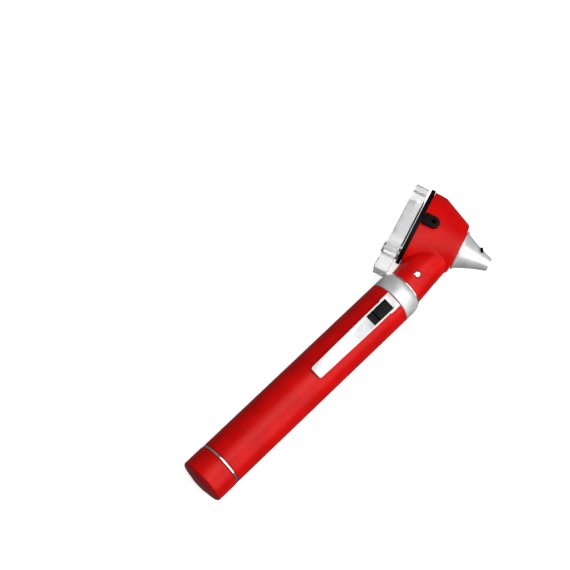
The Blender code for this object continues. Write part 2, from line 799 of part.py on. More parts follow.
def build_nose():
    shares = [i / 6 for i in range(7)]
    outside = [(cone_outside(share), flange_front + cone_length * share) for share in reversed(shares)]
    inner_back = barrel_front - casing_front_wall - nut_thickness - 0.4 * MM
    turned("nose_cone", [
        (cone_tip_radius - cone_tip_wall, cone_tip),
        (cone_tip_radius - 0.2 * MM, cone_tip),
        (cone_tip_radius, cone_tip - 0.25 * MM),
        *outside[1:],
        (flange_radius, flange_front),
        (flange_radius, flange_back),
        (spigot_radius, flange_back),
        (spigot_radius, inner_back),
        (spigot_radius - spigot_wall, inner_back),
        (spigot_radius - spigot_wall, barrel_front),
    ], optical_axis, satin_metal, closed=True)

    nut_front = barrel_front - casing_front_wall - seam_gap
    nut = part("nose_nut", cylinder(nut_radius, nut_front - nut_thickness, nut_front, steps=nut_flats * 4),
               optical_axis, bright_metal)
    boolean(nut, cutter("nut_bore", cylinder(spigot_radius + running_gap, nut_front - nut_thickness - 1 * MM,
                                             nut_front + 1 * MM, steps=round_steps), optical_axis))

    wall = sight_tube_wall
    turned("sight_tube", [
        (sight_outside(cone_tip) - wall, cone_tip - seam_gap),
        (sight_outside(cone_tip), cone_tip - seam_gap),
        (sight_outside(sight_back), sight_back),
        (sight_outside(sight_back) - wall, sight_back),
    ], optical_axis, black_plastic, small_steps, closed=True)

    ring_front, ring_back = cone_tip - seam_gap, cone_tip - fibre_ring_length
    turned("fibre_ring", [
        (cone_inside(ring_front) - running_gap, ring_front),
        (cone_inside(ring_back) - running_gap, ring_back),
        (sight_outside(ring_back) + running_gap, ring_back),
        (sight_outside(ring_front) + running_gap, ring_front),
    ], optical_axis, fibre_glass, small_steps, closed=True)

    share = stud_share
    slope = math.atan2(cone_outside(share - 0.05) - cone_outside(share + 0.05), cone_length * 0.1)
    lean = (Matrix.Rotation(-stud_turn, 4, "Z")
            @ Matrix.Translation((-cone_outside(share), 0.0, flange_front + cone_length * share))
            @ Matrix.Rotation(-math.pi / 2 + slope, 4, "Y") @ Matrix.Rotation(stud_slant, 4, "Z"))
    stud_axis = empty("stud_axis", optical_axis, lean)
    ends = stud_width / 2
    outline = rounded_rectangle(ends, stud_length / 2, ends * 0.98, arc_points=5)
    part("speculum_stud", prism(outline, seam_gap * 2, seam_gap * 2 + stud_height), stud_axis, black_plastic)


def build_light_guide():
    """Fibres from above the lamp, up the neck's bore and along the underside of the cone."""
    to_optic = optical_axis.matrix_world.inverted() @ handle_axis.matrix_world
    bottom = neck_bottom + neck_bore_depth + guide_above_bore
    end_depth = cone_tip - fibre_ring_length - hidden_gap
    middle = (cone_inside(barrel_front) + sight_outside(barrel_front)) / 2
    route = [
        to_optic @ Vector((0.0, 0.0, bottom)),
        to_optic @ Vector((0.0, 0.2 * MM, bottom + 6.1 * MM)),
        Vector((0.0, -middle - 1.7 * MM, barrel_front - 5.6 * MM)),
        Vector((0.0, -middle - 0.1 * MM, barrel_front - 2.4 * MM)),
        Vector((0.0, -middle, barrel_front + 0.8 * MM)),
        Vector((0.0, -(cone_inside(end_depth) + sight_outside(end_depth)) / 2, end_depth)),
    ]
    path = smooth_path(route, guide_span_points)
    narrow_until = guide_span_points * guide_narrow_spans
    radii = []
    for i in range(len(path)):
        if i <= narrow_until:
            start, end, share = guide_base_radius, guide_middle_radius, i / narrow_until
        else:
            start, end = guide_middle_radius, guide_tip_radius
            share = (i - narrow_until) / (len(path) - 1 - narrow_until)
        radii.append(start + (end - start) * share)
    wire("light_guide", path, radii, optical_axis, fibre_glass)


# ---------------------------------------------------------------- lens

def holder_outline():
    """Half of the outline runs from the thumb tab up to the rounded top; the other half mirrors it."""
    top = rim_rise + holder_top_above_rim_centre
    shoulder = rim_rise - holder_shoulder_below_rim_centre
    tail = rim_rise - holder_tail_below_rim_centre
    tail_corner = 1.5 * MM
    corner = holder_corner
    side = [(holder_tail_half_width - tail_corner * (1 - math.sin(t)), tail + tail_corner * (1 - math.cos(t)))
            for t in (0.0, math.pi / 4, math.pi / 2)]
    neck = shoulder - 3.2 * MM
    side.append((holder_tail_half_width + 0.2 * MM, neck - 1.0 * MM))
    for i in range(5):
        t = math.pi / 2 * i / 4
        side.append((holder_half_width - (holder_half_width - holder_tail_half_width - 0.6 * MM) * (1 - math.sin(t)),
                     shoulder - (shoulder - neck) * math.cos(t)))
    for i in range(6):
        t = math.pi / 2 * i / 5
        side.append((holder_half_width - corner * (1 - math.cos(t)), top - corner * (1 - math.sin(t))))
    return side + [(-x, y) for x, y in reversed(side)]


def domed_lens(outline, centre_y, low, high, dome):
    """A plate whose lower face bulges by dome: rings of the outline shrink towards its middle."""
    rings = [[(x, y, high) for x, y in outline]]
    for share in (1.0, 0.85, 0.65, 0.4, 0.12):
        rings.append([(x * share, centre_y + (y - centre_y) * share, low - dome * (1 - share ** 2))
                      for x, y in outline])
    return loft(rings)


def build_lens():
    opening = rounded_rectangle(lens_half_width + seam_gap, lens_half_height + seam_gap, lens_corner, lens_centre)
    holder = part("lens_holder", prism(holder_outline(), holder_back, holder_front), optical_axis, clear_acrylic)
    boolean(holder, cutter("lens_opening", prism(opening, holder_back - 1 * MM, holder_front + 1 * MM),
                           optical_axis))
    pivot_hole = cylinder(pivot_radius + running_gap, holder_back - 1 * MM, holder_front + 1 * MM,
                          (0.0, pivot_height))
    boolean(holder, cutter("holder_pivot_hole", pivot_hole, optical_axis))

    tail = rim_rise - holder_tail_below_rim_centre
    for i in range(tab_ribs):
        low = tail + 1.2 * MM + i * 2 * tab_rib_width
        half = holder_tail_half_width - 1.2 * MM
        rib = box((-half, low, holder_back - tab_rib_height), (half, low + tab_rib_width, holder_back + 0.4 * MM))
        boolean(holder, cutter(f"tab_rib_{i + 1}", rib, optical_axis), "UNION")

    outline = rounded_rectangle(lens_half_width, lens_half_height, lens_corner, lens_centre)
    lens_back = holder_back + lens_dome + seam_gap
    part("magnifier_lens", domed_lens(outline, lens_centre, lens_back, lens_back + lens_thickness, lens_dome),
         optical_axis, clear_acrylic)

    seal_low = holder_front + 0.05 * MM
    seal_outline = rounded_rectangle(lens_half_width + seal_width, lens_half_height + seal_width,
                                     lens_corner + seal_width, lens_centre)
    seal = part("lens_seal", prism(seal_outline, seal_low, seal_low + seal_thickness), optical_axis, black_rubber)
    boolean(seal, cutter("seal_opening", prism(opening, seal_low - 1 * MM, seal_low + 1 * MM), optical_axis))

    washer = part("pivot_washer", cylinder(pivot_washer_radius, holder_front + running_gap,
                                           frame_back - running_gap, (0.0, pivot_height)),
                  optical_axis, spring_steel)
    washer_hole = cylinder(pivot_radius + running_gap, holder_front - 1 * MM, frame_back + 1 * MM,
                           (0.0, pivot_height))
    boolean(washer, cutter("washer_hole", washer_hole, optical_axis))

    head_top = holder_back - running_gap
    turned("lens_pivot_screw", [
        (0.0, pivot_end),
        (pivot_radius, pivot_end),
        (pivot_radius, head_top),
        (pivot_head_radius, head_top),
        (pivot_head_radius, head_top - pivot_head_thickness + 0.3 * MM),
        (pivot_head_radius - 0.3 * MM, head_top - pivot_head_thickness),
        (0.0, head_top - pivot_head_thickness),
    ], pivot_axis, bright_metal, small_steps)


# ---------------------------------------------------------------- build

# Places that the pieces share.
cap_floor = cap_bottom + cap_wall
sleeve_floor = cap_floor + seam_gap + sleeve_wall
upper_cell_bottom = upper_cell_top - battery_length
lower_cell_top = upper_cell_bottom - seam_gap
lower_cell_bottom = lower_cell_top - battery_length
pin_head_top = upper_cell_top + seam_gap + pin_head_thickness
insulator_top = pin_head_top + seam_gap + insulator_thickness
pin_top = pin_head_top + pin_stem
slider_bottom = handle_radius + running_gap
leaf_top = tube_bore - 0.35 * MM
post_bottom = clip_window_bottom + switch_travel + running_gap
strip_height = leaf_top + 0.07 * MM
strip_bottom = sleeve_reach + hidden_gap
clip_skirt_bottom = handle_radius + clip_skirt_clearance
sight_back = barrel_front - sight_tube_reach
port_centre_depth = port_length - port_width / 2
screw_face = neck_radius + 0.25 * MM
screw_seat = neck_radius - 0.75 * MM

clear_scene()
parts = new_collection("otoscope")
cutters = new_collection("otoscope_cutters")

red_lacquer = material("red_lacquer", (0.62, 0.012, 0.012), 0.22)
black_plastic = material("black_plastic", (0.012, 0.012, 0.014), 0.4)
black_rubber = material("black_rubber", (0.015, 0.015, 0.016), 0.7)
satin_metal = material("satin_metal", (0.74, 0.75, 0.76), 0.28, metallic=1.0)
bright_metal = material("bright_metal", (0.83, 0.83, 0.82), 0.14, metallic=1.0)
spring_steel = material("spring_steel", (0.55, 0.55, 0.56), 0.3, metallic=1.0)
brass = material("brass", (0.8, 0.62, 0.3), 0.25, metallic=1.0)
cell_jacket = material("cell_jacket", (0.12, 0.13, 0.15), 0.3)
clear_acrylic = material("clear_acrylic", (0.95, 0.97, 0.97), 0.05, alpha=0.4, transmission=1.0)
clear_glass = material("clear_glass", (0.96, 0.97, 0.97), 0.03, alpha=0.4, transmission=1.0)
fibre_glass = material("fibre_glass", (0.85, 0.88, 0.84), 0.2, transmission=0.4)

# The whole part hangs on one empty. The handle's axes have Z up the handle and X towards the clip's side.
root = empty("otoscope_origin")
handle_axis = empty("handle_axis", root, axes_matrix((0, 0, 0), (0, 0, 1), (1, 0, 0), (0, 1, 0)))
clip_axis = empty("clip_axis", handle_axis, Matrix.Rotation(clip_angle, 4, "Z"))

# The optical axis: Z out of the nose, Y up the window, X away from the clip's side.
lean_x, lean_y = math.cos(optic_tilt), math.sin(optic_tilt)
optical_axis = empty("optical_axis", root, axes_matrix(
    (optic_origin_x, optic_origin_y, 0), (0, 0, -1), (-lean_y, lean_x, 0), (lean_x, lean_y, 0)))
pivot_axis = empty("pivot_axis", optical_axis, Matrix.Translation((0, pivot_height, 0)))
port_axis = empty("port_axis", optical_axis, axes_matrix(
    (0, rim_rise + port_height_on_rim, port_centre_depth), (0, 0, 1), (0, 1, 0), (-1, 0, 0)))
screw_axis = empty("screw_axis", handle_axis, axes_matrix(
    (0, 0, screw_height), (0, 1, 0), (0, 0, 1), (1, 0, 0)))
bpy.context.view_layer.update()

build_handle_tube()
build_cell("battery_upper", upper_cell_top)
build_cell("battery_lower", lower_cell_top)
build_cap()
build_spring()
build_collar()
build_contacts()
build_clip()
build_switch()
build_head_fittings()
build_head_shell()
build_window_frame()
build_port()
build_nose()
build_light_guide()
build_lens()


def lowest_and_highest():
    """Corners of the whole part, on its evaluated meshes."""
    bpy.context.view_layer.update()
    graph = bpy.context.evaluated_depsgraph_get()
    low, high = Vector((1.0,) * 3), Vector((-1.0,) * 3)
    for obj in parts.objects:
        if obj.type == "EMPTY":
            continue
        evaluated = obj.evaluated_get(graph)
        mesh = evaluated.to_mesh()
        for vertex in mesh.vertices:
            point = evaluated.matrix_world @ vertex.co
            low = Vector(map(min, low, point))
            high = Vector(map(max, high, point))
        evaluated.to_mesh_clear()
    return low, high


# The frame's origin is the middle of the underside that the part lies on.
low_corner, high_corner = lowest_and_highest()
middle = (low_corner + high_corner) / 2
root.location = (-middle.x, -middle.y, -low_corner.z)
bpy.context.view_layer.update()
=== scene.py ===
"""A red pocket otoscope: fine meshes, finishes, floor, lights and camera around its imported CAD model."""

import json
import math

import bmesh
import bpy
from mathutils import Matrix, Quaternion, Vector

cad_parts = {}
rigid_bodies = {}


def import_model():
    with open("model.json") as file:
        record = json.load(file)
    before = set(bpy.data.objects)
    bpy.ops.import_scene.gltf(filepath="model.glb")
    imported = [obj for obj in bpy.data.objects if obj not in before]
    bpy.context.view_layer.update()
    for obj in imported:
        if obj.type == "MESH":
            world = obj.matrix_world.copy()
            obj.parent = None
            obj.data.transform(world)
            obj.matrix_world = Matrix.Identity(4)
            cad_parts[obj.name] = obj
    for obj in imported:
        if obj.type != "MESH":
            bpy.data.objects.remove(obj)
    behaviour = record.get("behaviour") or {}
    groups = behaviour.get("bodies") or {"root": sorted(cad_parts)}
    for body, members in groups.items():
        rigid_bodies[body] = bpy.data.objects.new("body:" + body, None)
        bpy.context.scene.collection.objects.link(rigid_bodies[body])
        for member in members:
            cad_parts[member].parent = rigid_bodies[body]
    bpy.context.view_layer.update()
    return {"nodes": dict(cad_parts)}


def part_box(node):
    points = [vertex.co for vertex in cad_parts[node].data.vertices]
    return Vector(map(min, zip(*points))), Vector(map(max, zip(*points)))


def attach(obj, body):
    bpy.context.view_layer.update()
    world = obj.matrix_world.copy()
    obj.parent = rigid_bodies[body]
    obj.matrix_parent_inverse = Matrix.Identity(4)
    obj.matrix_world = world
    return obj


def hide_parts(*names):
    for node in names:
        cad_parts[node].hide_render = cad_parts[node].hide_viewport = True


MM = 0.001

for leftover in list(bpy.data.objects):
    bpy.data.objects.remove(leftover, do_unlink=True)
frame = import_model()


# ---------------------------------------------------------------- places and sizes, from the frame

def middle(node):
    low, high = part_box(node)
    return (low + high) / 2


def size(node):
    low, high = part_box(node)
    return high - low


def reach_along(node, direction):
    """Lowest and highest place of a CAD node's points along a direction."""
    places = [vertex.co.dot(direction) for vertex in frame["nodes"][node].data.vertices]
    return min(places), max(places)


def axes_matrix(origin, x_axis, y_axis, z_axis):
    matrix = Matrix((x_axis, y_axis, z_axis)).transposed().to_4x4()
    matrix.translation = origin
    return matrix


tube_low, tube_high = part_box("handle_tube")
handle_radius = (tube_high.x - tube_low.x) / 2
handle_middle = middle("handle_tube")
handle_foot = Vector((handle_middle.x, 0.0, handle_middle.z))

# Handle axes: Z up the handle, X towards the clip's side, and heights are world Y.
handle_axes = axes_matrix(handle_foot, (0, 0, 1), (1, 0, 0), (0, 1, 0))
clip_turn = math.radians(6.4)
clip_axes = handle_axes @ Matrix.Rotation(clip_turn, 4, "Z")

# Optical axes: Z out of the nose, Y up the window, X away from the clip's side.
optic_tilt = math.radians(18.3)
out_of_nose = Vector((math.cos(optic_tilt), math.sin(optic_tilt), 0.0))
up_the_rim = Vector((-math.sin(optic_tilt), math.cos(optic_tilt), 0.0))
nose_up = reach_along("nose_cone", up_the_rim)
frame_at = reach_along("window_frame", out_of_nose)
frame_thickness = 1.8 * MM
frame_seam = 0.15 * MM
rim_plane = frame_at[0] + frame_thickness + frame_seam
optic_height = sum(nose_up) / 2
optic_origin = out_of_nose * rim_plane + up_the_rim * optic_height + Vector((0, 0, handle_middle.z))
optic_axes = axes_matrix(optic_origin, (0, 0, -1), up_the_rim, out_of_nose)


def depth_of(node):
    """Lowest and highest place of a node along the optical axis, from the casing's rear edge."""
    low, high = reach_along(node, out_of_nose)
    return low - rim_plane, high - rim_plane


# ---------------------------------------------------------------- finishes

def node(tree, kind, inputs=None, **settings):
    made = tree.nodes.new(kind)
    for name, value in settings.items():
        setattr(made, name, value)
    for name, value in (inputs or {}).items():
        socket = made.inputs[name]
        if isinstance(value, bpy.types.NodeSocket):
            tree.links.new(value, socket)
        else:
            socket.default_value = value
    return made


def object_place(tree, stretch=(1.0, 1.0, 1.0), turn=0.0):
    """Object coordinates in millimetres, turned about Z and then stretched."""
    place = node(tree, "ShaderNodeTexCoord").outputs["Object"]
    if turn:
        place = node(tree, "ShaderNodeMapping", {"Vector": place, "Rotation": (0, 0, turn)}).outputs["Vector"]
    scale = tuple(1000.0 * s for s in stretch)
    return node(tree, "ShaderNodeMapping", {"Vector": place, "Scale": scale}).outputs["Vector"]


def noise(tree, place, scale, detail=3.0, rough=0.5):
    made = node(tree, "ShaderNodeTexNoise",
                {"Vector": place, "Scale": scale, "Detail": detail, "Roughness": rough})
    return made.outputs["Fac"]


def ramp(tree, value, low, high, start, end):
    """Maps value from low..high to start..end and holds it there."""
    made = node(tree, "ShaderNodeMapRange", {"Value": value, "From Min": low, "From Max": high,
                                             "To Min": start, "To Max": end})
    return made.outputs["Result"]


def blend_colour(tree, share, first, second):
    made = node(tree, "ShaderNodeMix", data_type="RGBA")
    for name, value in (("Factor", share), ("A", first), ("B", second)):
        socket = [s for s in made.inputs if s.name == name and s.enabled][0]
        if isinstance(value, bpy.types.NodeSocket):
            tree.links.new(value, socket)
        else:
            socket.default_value = value if name == "Factor" else (*value, 1.0)
    return [s for s in made.outputs if s.enabled][0]


def worn_edges(tree, radius=0.25 * MM):
    """1 on convex edges and 0 on flat faces, where the rounded normal leaves the true one."""
    rounded = node(tree, "ShaderNodeBevel", {"Radius": radius}, samples=4).outputs["Normal"]
    true = node(tree, "ShaderNodeNewGeometry").outputs["Normal"]
    facing = node(tree, "ShaderNodeVectorMath", {0: rounded, 1: true},
                  operation="DOT_PRODUCT").outputs["Value"]
    return ramp(tree, facing, 0.99, 0.86, 0.0, 1.0)


def new_finish(name, **sockets):
    made = bpy.data.materials.new(name)
    made.use_nodes = True
    shader = made.node_tree.nodes["Principled BSDF"]
    for socket, value in sockets.items():
        shader.inputs[socket.replace("_", " ")].default_value = value
    return made, made.node_tree, shader


def drive(tree, shader, colour=None, roughness=None, height=None, distance=0.01 * MM, strength=1.0):
    """Links a finish's maps: colour, roughness, and a height for its bump."""
    if colour is not None:
        tree.links.new(colour, shader.inputs["Base Color"])
    if roughness is not None:
        tree.links.new(roughness, shader.inputs["Roughness"])
    if height is not None:
        bump = node(tree, "ShaderNodeBump", {"Height": height, "Distance": distance, "Strength": strength})
        tree.links.new(bump.outputs["Normal"], shader.inputs["Normal"])


def add_up(tree, *values):
    total = values[0]
    for value in values[1:]:
        total = node(tree, "ShaderNodeMath", {0: total, 1: value}, operation="ADD").outputs["Value"]
    return total


def red_lacquer_finish():
    made, tree, shader = new_finish("red_lacquer_gloss", Specular_IOR_Level=0.12, Coat_Weight=0.07,
                                    Coat_Roughness=0.12, Coat_IOR=1.4)
    place = object_place(tree)
    cloud = noise(tree, place, 0.12, 2.0)
    fine = noise(tree, place, 1.6, 3.0)
    scuffs = noise(tree, object_place(tree, (3.0, 0.12, 3.0)), 1.0, 4.0, 0.65)
    base = blend_colour(tree, ramp(tree, cloud, 0.35, 0.65, 0.0, 1.0),
                        (0.6, 0.0012, 0.0008), (0.7, 0.0025, 0.0015))
    edges = worn_edges(tree)
    colour = blend_colour(tree, ramp(tree, edges, 0.0, 1.0, 0.0, 0.16), base, (0.74, 0.04, 0.025))
    rough = add_up(tree, ramp(tree, scuffs, 0.45, 0.75, 0.3, 0.4), ramp(tree, fine, 0.3, 0.7, 0.0, 0.06))
    height = add_up(tree, ramp(tree, noise(tree, place, 0.9, 2.0), 0.0, 1.0, 0.0, 1.0),
                    ramp(tree, scuffs, 0.62, 0.8, 0.0, -0.25))
    drive(tree, shader, colour, rough, height, 0.006 * MM, 0.5)
    return made


def black_plastic_finish():
    made, tree, shader = new_finish("black_plastic_moulded", Specular_IOR_Level=0.12)
    place = object_place(tree)
    grain = noise(tree, place, 9.0, 2.0)
    colour = blend_colour(tree, ramp(tree, worn_edges(tree), 0.0, 1.0, 0.0, 0.5),
                          (0.0012, 0.0012, 0.0014), (0.012, 0.012, 0.013))
    rough = ramp(tree, noise(tree, place, 0.5, 3.0), 0.3, 0.7, 0.38, 0.52)
    drive(tree, shader, colour, rough, grain, 0.012 * MM, 0.45)
    return made


def black_rubber_finish():
    made, tree, shader = new_finish("black_rubber_seal", Specular_IOR_Level=0.1)
    place = object_place(tree)
    colour = blend_colour(tree, noise(tree, place, 1.2, 3.0), (0.003, 0.003, 0.0035), (0.008, 0.008, 0.009))
    drive(tree, shader, colour, ramp(tree, noise(tree, place, 2.0), 0.3, 0.7, 0.62, 0.8),
          noise(tree, place, 14.0, 2.0), 0.02 * MM, 0.4)
    return made


def brushed_metal(name, colour, darker, roughness, stretch, turn=0.0, strength=0.35, metallic=1.0):
    """Metal with fine parallel lines: stretch is small along the lines and large across them."""
    made, tree, shader = new_finish(name, Metallic=metallic)
    lines = noise(tree, object_place(tree, stretch, turn), 1.0, 4.0, 0.7)
    place = object_place(tree)
    smear = noise(tree, place, 0.25, 3.0)
    mixed = blend_colour(tree, ramp(tree, smear, 0.3, 0.7, 0.0, 1.0), darker, colour)
    tone = blend_colour(tree, ramp(tree, lines, 0.35, 0.65, 0.12, 0.0), mixed, darker)
    rough = add_up(tree, ramp(tree, lines, 0.3, 0.7, roughness - 0.04, roughness + 0.05),
                   ramp(tree, smear, 0.4, 0.8, 0.0, 0.05))
    drive(tree, shader, tone, rough, lines, 0.006 * MM, strength)
    return made


def cell_jacket_finish():
    """A dark shrink sleeve with a copper-coloured end."""
    made, tree, shader = new_finish("cell_sleeve", Metallic=0.3)
    place = object_place(tree)
    height = node(tree, "ShaderNodeSeparateXYZ", {"Vector": place}).outputs["Y"]
    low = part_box("battery_lower")[0].y * 1000
    length = size("battery_lower").y * 1000
    gap = (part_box("battery_upper")[0].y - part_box("battery_lower")[0].y) * 1000
    along = node(tree, "ShaderNodeMath", {0: height, 1: low - gap}, operation="SUBTRACT").outputs["Value"]
    wrapped = node(tree, "ShaderNodeMath", {0: along, 1: gap}, operation="MODULO").outputs["Value"]
    band = ramp(tree, wrapped, length * 0.74, length * 0.745, 0.0, 1.0)
    colour = blend_colour(tree, band, (0.012, 0.013, 0.015), (0.55, 0.24, 0.09))
    drive(tree, shader, colour, ramp(tree, noise(tree, place, 0.8), 0.3, 0.7, 0.2, 0.34),
          noise(tree, place, 3.0), 0.01 * MM, 0.2)
    return made


def brass_finish():
    made, tree, shader = new_finish("brass_contact", Metallic=1.0)
    place = object_place(tree)
    colour = blend_colour(tree, noise(tree, place, 0.7, 4.0), (0.62, 0.43, 0.16), (0.82, 0.62, 0.3))
    drive(tree, shader, colour, ramp(tree, noise(tree, place, 1.5, 4.0), 0.3, 0.7, 0.2, 0.38),
          noise(tree, place, 5.0), 0.01 * MM, 0.25)
    return made


def clear_finish(name, tint, haze_low, haze_high, ior=1.49, clear=1.0):
    made, tree, shader = new_finish(name, Transmission_Weight=clear, IOR=ior, Specular_IOR_Level=0.5)
    place = object_place(tree)
    smudges = noise(tree, place, 0.35, 4.0, 0.6)
    colour = blend_colour(tree, noise(tree, place, 0.15), tint, tuple(min(1.0, c * 1.03) for c in tint))
    drive(tree, shader, colour, ramp(tree, smudges, 0.45, 0.75, haze_low, haze_high),
          noise(tree, place, 0.6, 2.0), 0.01 * MM, 0.12)
    return made


def fibre_finish():
    made, tree, shader = new_finish("glass_fibre_ends", Transmission_Weight=0.25, Specular_IOR_Level=0.5)
    cells = node(tree, "ShaderNodeTexVoronoi",
                 {"Vector": object_place(tree), "Scale": 6.0}).outputs["Distance"]
    colour = blend_colour(tree, ramp(tree, cells, 0.2, 0.6, 0.0, 1.0), (0.86, 0.88, 0.84), (0.4, 0.42, 0.38))
    drive(tree, shader, colour, ramp(tree, cells, 0.0, 0.6, 0.12, 0.3), cells, 0.02 * MM, 0.4)
    return made


finishes = {
    "red_lacquer": red_lacquer_finish(),
    "black_plastic": black_plastic_finish(),
    "black_rubber": black_rubber_finish(),
    "clip_steel": brushed_metal("clip_steel_brushed", (0.62, 0.63, 0.63), (0.46, 0.47, 0.48), 0.36,
                                (6.0, 0.12, 6.0), metallic=0.5),
    "satin_metal": brushed_metal("turned_aluminium", (0.76, 0.78, 0.77), (0.6, 0.62, 0.61), 0.42,
                                 (0.05, 9.0, 0.05), metallic=0.35),
    "nose_metal": brushed_metal("turned_aluminium_nose", (0.88, 0.88, 0.88), (0.72, 0.72, 0.72), 0.36,
                                (14.0, 0.05, 0.05), -optic_tilt, 0.12, 0.5),
    "bright_metal": brushed_metal("bright_plating", (0.9, 0.9, 0.885), (0.74, 0.74, 0.72), 0.13,
                                  (0.1, 7.0, 0.1), strength=0.15),
    "spring_steel": brushed_metal("spring_steel_drawn", (0.5, 0.5, 0.51), (0.34, 0.34, 0.35), 0.3,
                                  (2.0, 2.0, 2.0)),
    "brass": brass_finish(),
    "cell_jacket": cell_jacket_finish(),
    "clear_glass": clear_finish("bulb_glass", (0.97, 0.98, 0.98), 0.01, 0.05, 1.5),
    "clear_acrylic": clear_finish("acrylic_holder", (0.97, 0.975, 0.97), 0.03, 0.14, 1.3, 0.72),
    "lens_acrylic": clear_finish("acrylic_lens", (0.98, 0.985, 0.985), 0.0, 0.03, 1.4, 0.85),
    "fibre_glass": fibre_finish(),
}


# ---------------------------------------------------------------- shapes

def mesh_from(bm, name="shape"):
    bmesh.ops.recalc_face_normals(bm, faces=bm.faces)
    mesh = bpy.data.meshes.new(name)
    bm.to_mesh(mesh)
    bm.free()
    return mesh


def loft(rings, ring_shaped=False):
    """A closed body through rings with as many points each. Ring-shaped: the last ring joins the first."""
    bm = bmesh.new()
    rows = [[bm.verts.new(point) for point in ring] for ring in rings]
    count = len(rows[0])
    pairs = list(zip(rows, rows[1:]))
    if ring_shaped:
        pairs.append((rows[-1], rows[0]))
    for row, following in pairs:
        for i in range(count):
            j = (i + 1) % count
            bm.faces.new((row[i], row[j], following[j], following[i]))
    if not ring_shaped:
        bm.faces.new(rows[0][::-1])
        bm.faces.new(rows[-1])
    return mesh_from(bm)


def lathe(profile, steps=128, centre=(0.0, 0.0)):
    """A profile of (radius, height) points turned about local Z. Radius 0 closes its ends."""
    bm = bmesh.new()
    rows = []
    for radius, height in profile:
        if radius == 0.0:
            rows.append([bm.verts.new((*centre, height))])
            continue
        turns = [2 * math.pi * i / steps for i in range(steps)]
        circle = [(centre[0] + radius * math.cos(t), centre[1] + radius * math.sin(t)) for t in turns]
        rows.append([bm.verts.new((x, y, height)) for x, y in circle])
    pairs = list(zip(rows, rows[1:]))
    if len(rows[0]) > 1:
        pairs.append((rows[-1], rows[0]))
    for row, following in pairs:
        for i in range(steps):
            j = (i + 1) % steps
            corners = [row[i % len(row)], row[j % len(row)],
                       following[j % len(following)], following[i % len(following)]]
            bm.faces.new(list(dict.fromkeys(corners)))
    return mesh_from(bm)


def prism(outline, low, high):
    return loft([[(x, y, low) for x, y in outline], [(x, y, high) for x, y in outline]])


def box(low, high):
    bm = bmesh.new()
    extent = [b - a for a, b in zip(low, high)]
    centre = [(a + b) / 2 for a, b in zip(low, high)]
    bmesh.ops.create_cube(bm, size=1.0, matrix=Matrix.Translation(centre) @ Matrix.Diagonal((*extent, 1.0)))
    return mesh_from(bm)


def cylinder(radius, low, high, centre=(0.0, 0.0), steps=64):
    return lathe([(0.0, low), (radius, low), (radius, high), (0.0, high)], steps, centre)


def ellipse(half_x, half_y, centre_y=0.0, count=96):
    turns = [2 * math.pi * i / count for i in range(count)]
    return [(half_x * math.cos(t), centre_y + half_y * math.sin(t)) for t in turns]


def rounded_rectangle(half_x, half_y, corner, centre_y=0.0, arc_points=10):
    outline = []
    for quarter, (side_x, side_y) in enumerate([(1, 1), (-1, 1), (-1, -1), (1, -1)]):
        for i in range(arc_points):
            turn = math.pi / 2 * (quarter + i / (arc_points - 1))
            outline.append((side_x * (half_x - corner) + corner * math.cos(turn),
                            centre_y + side_y * (half_y - corner) + corner * math.sin(turn)))
    return outline


def arc(centre_r, centre_h, radius_r, radius_h, start, end, count=7):
    """Profile points round a bend: 0 degrees is outwards, 90 is up."""
    points = []
    for i in range(count):
        turn = math.radians(start + (end - start) * i / (count - 1))
        points.append((centre_r + radius_r * math.cos(turn), centre_h + radius_h * math.sin(turn)))
    return points


def evaluated(obj):
    graph = bpy.context.evaluated_depsgraph_get()
    return bpy.data.meshes.new_from_object(obj.evaluated_get(graph))


def worked(mesh, cuts=(), joins=(), bevel=0.0, segments=3, bevel_angle=30.0):
    """The mesh after joining and cutting others, with its sharp edges rounded."""
    helpers = [bpy.data.objects.new("work", mesh)]
    for operation, others in (("UNION", joins), ("DIFFERENCE", cuts)):
        for other in others:
            tool = bpy.data.objects.new("tool", other)
            helpers.append(tool)
            modifier = helpers[0].modifiers.new(operation, "BOOLEAN")
            modifier.operation = operation
            modifier.solver = "EXACT"
            modifier.object = tool
    if bevel:
        rounding = helpers[0].modifiers.new("rounding", "BEVEL")
        rounding.width = bevel
        rounding.segments = segments
        rounding.limit_method = "ANGLE"
        rounding.angle_limit = math.radians(bevel_angle)
        rounding.miter_outer = "MITER_ARC"
    for helper in helpers:
        bpy.context.scene.collection.objects.link(helper)
    bpy.context.view_layer.update()
    made = evaluated(helpers[0])
    for helper in helpers:
        bpy.data.objects.remove(helper, do_unlink=True)
    return made


def moved(mesh, matrix):
    copy = mesh.copy()
    copy.transform(matrix)
    return copy


def piece(name, mesh, axes, body, finish, replaces, sharp=35.0):
    """One visible piece, in its body's axes, that stands for CAD nodes."""
    mesh.transform(axes)
    mesh.shade_smooth()
    mesh.set_sharp_from_angle(angle=math.radians(sharp))
    mesh.materials.clear()
    mesh.materials.append(finishes[finish])
    made = bpy.data.objects.new(name, mesh)
    bpy.context.scene.collection.objects.link(made)
    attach(made, body)
    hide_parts(*replaces)
    return made


# ---------------------------------------------------------------- handle

edge = 0.35 * MM
tube_wall = 1.6 * MM
bore = handle_radius - tube_wall


def make_handle():
    low, high = tube_low.y, tube_high.y
    tube = lathe([
        *arc(handle_radius - edge, high - edge, edge, edge, 90, 0),
        *arc(handle_radius - edge, low + edge, edge, edge, 0, -90),
        (bore, low),
        (bore, high),
    ])
    window_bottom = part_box("pocket_clip")[1].y - window_below_top - window_length
    slot_half, slot_length, slot_below = 1.1 * MM, 7.5 * MM, 0.1 * MM
    slot = box((bore - 1 * MM, -slot_half, window_bottom - slot_below),
               (handle_radius + 1 * MM, slot_half, window_bottom + slot_length))
    slot.transform(Matrix.Rotation(clip_turn, 4, "Z"))
    piece("handle_body", worked(tube, cuts=[slot]), handle_axes, "handle", "red_lacquer", ["handle_tube"])


